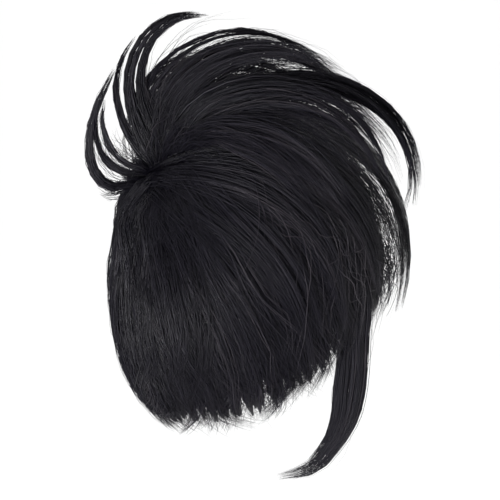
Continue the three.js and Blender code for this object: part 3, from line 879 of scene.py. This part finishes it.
def wig_cap(material):
    columns, rows = CAP.columns, CAP.rows
    outer, inner = cap_sheets()
    crowns = [HEAD_CENTRE + UP * (HEAD.up + wall) for wall in (CAP.wall, -CAP.row_stand)]
    points = np.concatenate([outer.reshape(-1, 3), inner.reshape(-1, 3), crowns])
    place = np.arange(columns * rows).reshape(columns, rows)
    beside = np.roll(place, -1, axis=0)
    sheet = np.stack([place[:, :-1], place[:, 1:], beside[:, 1:], beside[:, :-1]], axis=-1).reshape(-1, 4)
    within = columns * rows
    rim = np.stack([place[:, -1], within + place[:, -1], within + beside[:, -1], beside[:, -1]], axis=-1)
    top = np.stack([np.full(columns, 2 * within), place[:, 0], beside[:, 0]], axis=-1)
    under = np.stack([np.full(columns, 2 * within + 1), within + beside[:, 0], within + place[:, 0]], axis=-1)
    faces = [sheet, within + sheet[:, ::-1], rim, top, under]
    mesh = bpy.data.meshes.new("wig_cap_net")
    mesh.from_pydata(points.tolist(), [], [face for group in faces for face in group.tolist()])
    mesh.polygons.foreach_set("use_smooth", np.ones(len(mesh.polygons), bool))
    mesh.materials.append(material)
    made = add_object("wig_cap_net", mesh)
    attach(made, "root")
    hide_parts("wig_cap")


def feed(made, inputs):
    """Gives a node's inputs values, or joins them to other nodes' outputs."""
    for name, value in inputs.items():
        if isinstance(value, bpy.types.NodeSocket):
            made.id_data.links.new(value, made.inputs[name])
        else:
            made.inputs[name].default_value = value


def node(tree, kind, inputs, **settings):
    made = tree.nodes.new("ShaderNode" + kind)
    for name, value in settings.items():
        setattr(made, name, value)
    feed(made, inputs)
    return made


def new_material(name):
    material = bpy.data.materials.new(name)
    material.use_nodes = True
    tree = material.node_tree
    return material, tree, tree.nodes["Principled BSDF"]


def hair_material():
    """Near-black synthetic hair: each strand has its own tone, darkened towards its root as painted shade,
    and a satin shine.
    """
    material, tree, shader = new_material("black_hair")
    tone = node(tree, "Attribute", {}, attribute_name="tone")
    along = node(tree, "Attribute", {}, attribute_name="along")
    # Painted shade: a strand's tone falls towards its root, to 0.12 of itself there, where the hair lies deep
    # and shaded.
    root_shade = node(tree, "MapRange", {"Value": along.outputs["Fac"], "From Max": 0.35, "To Min": 0.12})
    both = {0: root_shade.outputs["Result"], 1: tone.outputs["Fac"]}
    shaded_tone = node(tree, "Math", both, operation="MULTIPLY")
    ramp = node(tree, "ValToRGB", {"Fac": shaded_tone.outputs["Value"]})
    stops = ramp.color_ramp.elements
    stops[0].color = (0.0014, 0.0011, 0.0030, 1)
    stops[1].color = (0.0260, 0.0225, 0.0270, 1)
    middle = stops.new(0.75)
    middle.color = (0.0060, 0.0052, 0.0092, 1)
    place = node(tree, "TexCoord", {})
    noise = node(tree, "TexNoise", {"Vector": place.outputs["Object"], "Scale": 220, "Detail": 3})
    grain = noise.outputs["Fac"]
    rough = node(tree, "MapRange", {"Value": grain, "To Min": 0.30, "To Max": 0.52})
    bump = node(tree, "Bump", {"Height": grain, "Strength": 0.15, "Distance": 0.0003})
    feed(shader, {"Base Color": ramp.outputs["Color"], "Roughness": rough.outputs["Result"],
                  "Normal": bump.outputs["Normal"], "Specular IOR Level": 0.17})
    return material


def net_material():
    """Matt dark grey elastic net."""
    material, tree, shader = new_material("dark_net")
    place = node(tree, "TexCoord", {})
    holes = {"Vector": place.outputs["Object"], "Scale": 420}
    cells = node(tree, "TexVoronoi", holes, feature="DISTANCE_TO_EDGE")
    from_edge = cells.outputs["Distance"]
    ramp = node(tree, "ValToRGB", {"Fac": from_edge})
    stops = ramp.color_ramp.elements
    stops[0].color = (0.075, 0.072, 0.078, 1)
    stops[1].color = (0.020, 0.019, 0.021, 1)
    stops[1].position = 0.35
    bump = node(tree, "Bump", {"Height": from_edge, "Strength": 0.6, "Distance": 0.0006}, invert=True)
    feed(shader, {"Base Color": ramp.outputs["Color"], "Roughness": 0.85,
                  "Normal": bump.outputs["Normal"], "Specular IOR Level": 0.2})
    return material


def floor_material():
    material, tree, shader = new_material("pale_floor")
    noise = node(tree, "TexNoise", {"Scale": 3})
    rough = node(tree, "MapRange", {"Value": noise.outputs["Fac"], "To Min": 0.85, "To Max": 0.95})
    feed(shader, {"Roughness": rough.outputs["Result"], "Base Color": (0.96, 0.96, 0.96, 1)})
    return material


FLOOR = Sizes(height=-0.9, half=80.0)


def stage():
    """A plain pale floor well below the wig, and a white room."""
    half = FLOOR.half
    corners = [(-half, -half), (half, -half), (half, half), (-half, half)]
    mesh = bpy.data.meshes.new("floor")
    mesh.from_pydata([(x, y, FLOOR.height) for x, y in corners], [], [(0, 1, 2, 3)])
    mesh.materials.append(floor_material())
    floor = add_object("floor", mesh)
    world = bpy.data.worlds.new("white_room")
    world.use_nodes = True
    feed(world.node_tree.nodes["Background"], {"Color": (1, 1, 1, 1), "Strength": 1.05})
    bpy.context.scene.world = world
    bpy.context.scene.view_settings.view_transform = "Standard"


def view_axes():
    """Ways right, up and back of the photo's camera."""
    turn, lift = math.radians(VIEW.azimuth), math.radians(VIEW.height)
    back = Vector((math.sin(turn) * math.cos(lift), -math.cos(turn) * math.cos(lift), math.sin(lift)))
    right = Vector((math.cos(turn), math.sin(turn), 0))
    return right, back.cross(right), back


def add_camera():
    right, up, back = view_axes()
    data = bpy.data.cameras.new("camera")
    data.lens = VIEW.lens
    camera = add_object("camera", data)
    at = Vector(HEAD_CENTRE) + right * VIEW.aim_right + up * VIEW.aim_up + back * VIEW.distance
    turn = Matrix((right, up, back)).transposed().to_4x4()
    camera.matrix_world = Matrix.Translation(at) @ turn
    bpy.context.scene.camera = camera


# Soft lights: place in the picture's ways right, up and back from the head's centre, size and power.
LIGHTS = table(
    "name right up back size power",
    ("low", -0.36, -0.50, 0.92, 0.4, 21),
    ("top", 0.3, 1.2, 0.3, 1.0, 6),
    ("left", -1.0, 0.3, 0.7, 0.7, 5),
    ("front", 0.5, 0.5, -1.1, 0.8, 5),
    ("far", -0.9, 0.4, -0.8, 0.8, 4),
)


def add_lights():
    right, up, back = view_axes()
    centre = Vector(HEAD_CENTRE)
    for row in LIGHTS:
        data = bpy.data.lights.new(row["name"], "AREA")
        data.size = row["size"]
        data.energy = row["power"]
        light = add_object(row["name"], data)
        light.location = centre + right * row["right"] + up * row["up"] + back * row["back"]
        light.rotation_euler = (centre - light.location).to_track_quat("-Z", "Y").to_euler()


def hair_piece(name, seed, build, *values):
    """One piece of hair, built with random numbers of its own."""
    hair = Hair()
    build(hair, np.random.default_rng([SEED, *seed]), *values)
    hair.piece(name + "_hair", black_hair, "hair", name)


add_camera()
add_lights()
stage()
black_hair = hair_material()
for number, name in enumerate(PANELS):
    hair_piece(name, (1, number), hair_panel, number * PANEL_TURN, (number + 1) * PANEL_TURN)
for number, row in enumerate(FREE_LOCKS):
    hair_piece("tuft_" + row["name"], (2, number), free_lock, row)
for number, row in enumerate(DRAPED_LOCKS):
    hair_piece("drape_" + row["name"], (3, number), draped_lock, row)
hair_piece("side_lock", (4,), side_lock)
hair_piece("tuft_root", (5,), tuft_root)
wig_cap(net_material())

bpy.context.view_layer.update()
